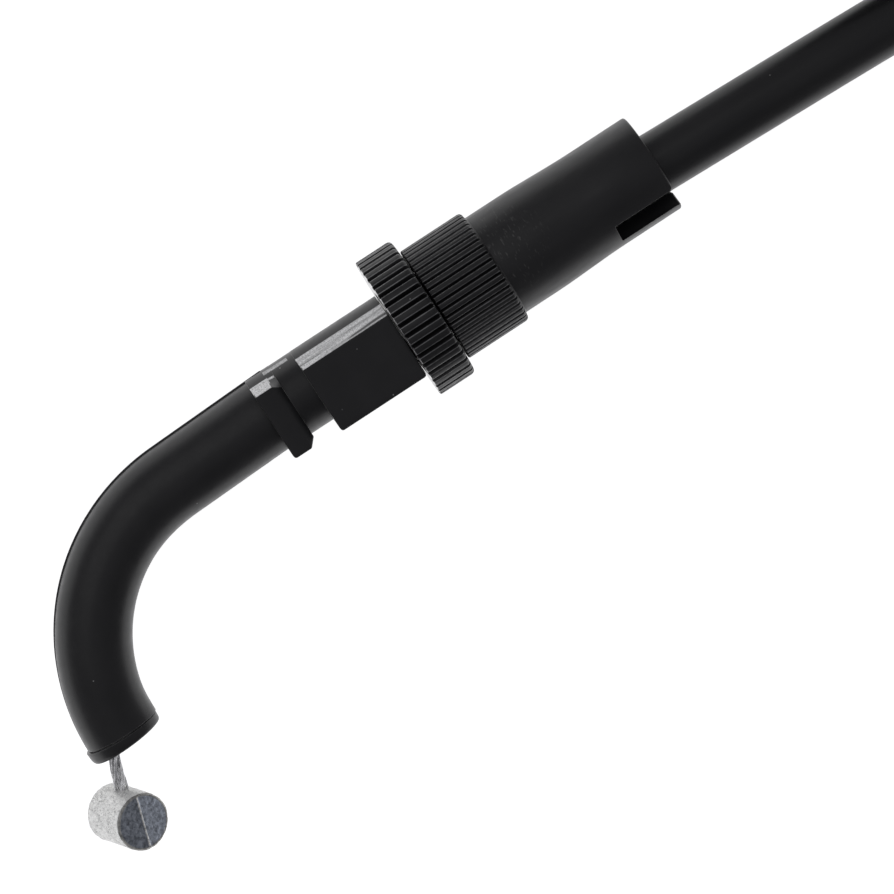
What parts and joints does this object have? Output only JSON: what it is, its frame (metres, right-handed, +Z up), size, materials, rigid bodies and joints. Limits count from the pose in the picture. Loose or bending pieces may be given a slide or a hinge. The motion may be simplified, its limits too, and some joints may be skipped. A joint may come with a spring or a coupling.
{
  "type": "motorcycle throttle cable",
  "caption": "Throttle cable with a moulded elbow, keyed collar and in-line adjuster at one end, a coiled casing, and a threaded bolt with clamp nuts at the other.",
  "frame": {"origin": "on the adjuster's axis, at the middle of the collar groove that the switch housing closes on", "axes": "+X along the adjuster towards the casing, +Y away from the side that the elbow turns to, +Z up from the surface that the cable lies on"},
  "size_m": [0.1853, 0.1065, 0.0156],
  "materials": {
    "black_moulding": "satin",
    "black_sleeve": "satin",
    "black_nut": "satin",
    "sheath": "satin",
    "boot_rubber": "matte",
    "tie_nylon": "satin",
    "bare_steel": "brushed",
    "plated_steel": "satin",
    "strand_steel": "polished",
    "cast_zinc": "cast",
    "liner": "matte"
  },
  "bodies": {
    "elbow": {"elbow_cover": "black_moulding", "mouth_ring": "black_moulding", "guide_tube": "bare_steel", "threaded_stud": "plated_steel", "elbow_wire": "strand_steel"},
    "near_pull": {"near_wire": "strand_steel", "near_nipple": "cast_zinc"},
    "casing": {"near_ferrule": "bare_steel", "casing_end_sheath": "sheath", "casing_end_winding": "bare_steel", "casing_end_liner": "liner", "casing_wire": "strand_steel", "casing_lead": "sheath", "casing_coil": "sheath", "casing_tail": "sheath", "coil_ties": "tie_nylon", "far_bolt": "plated_steel", "far_boot": "boot_rubber"},
    "sleeve": {"adjuster_sleeve": "black_sleeve"},
    "lock_nut": {"lock_nut": "black_nut"},
    "far_pull": {"far_wire": "strand_steel", "far_nipple": "cast_zinc"},
    "outer_washer": {"outer_washer": "plated_steel"},
    "outer_nut": {"outer_nut": "plated_steel"},
    "inner_washer": {"inner_washer": "plated_steel"},
    "inner_nut": {"inner_nut": "plated_steel"}
  },
  "joints": [
    {"name": "wire_pull", "type": "slide", "parent": "elbow", "child": "near_pull", "axis": [-0.3535, -0.9354, 0], "range_m": [-0.0027, 0.0105]},
    {"name": "casing_travel", "type": "slide", "parent": "elbow", "child": "casing", "axis": [1, 0, 0], "range_m": [0, 0.008]},
    {"name": "sleeve_turn", "type": "hinge", "parent": "casing", "child": "sleeve", "pos_m": [0.0293, 0, 0], "axis": [1, 0, 0], "range_deg": [0, 2880]},
    {"name": "lock_nut_turn", "type": "hinge", "parent": "sleeve", "child": "lock_nut", "pos_m": [0.0137, 0, 0], "axis": [1, 0, 0], "range_deg": [-120, 0]},
    {"name": "far_wire_travel", "type": "slide", "parent": "casing", "child": "far_pull", "axis": [-1, 0, 0], "range_m": [-0.0105, 0.0027]},
    {"name": "outer_washer_travel", "type": "slide", "parent": "casing", "child": "outer_washer", "axis": [1, 0, 0], "range_m": [-0.008, 0.0015]},
    {"name": "outer_nut_turn", "type": "hinge", "parent": "outer_washer", "child": "outer_nut", "pos_m": [0.0337, 0.06945, -0.00085], "axis": [1, 0, 0], "range_deg": [-2880, 540]},
    {"name": "inner_washer_travel", "type": "slide", "parent": "casing", "child": "inner_washer", "axis": [1, 0, 0], "range_m": [-0.001, 0.004]},
    {"name": "inner_nut_turn", "type": "hinge", "parent": "inner_washer", "child": "inner_nut", "pos_m": [0.0463, 0.06945, -0.00085], "axis": [1, 0, 0], "range_deg": [-360, 1440]}
  ],
  "couplings": [
    {"joint": "sleeve_turn", "follows": "casing_travel", "rad_per_m": 6283.2},
    {"joint": "far_wire_travel", "follows": "wire_pull", "ratio": -1},
    {"joint": "outer_washer_travel", "follows": "outer_nut_turn", "m_per_rad": 0.00015915},
    {"joint": "inner_washer_travel", "follows": "inner_nut_turn", "m_per_rad": 0.00015915}
  ]
}
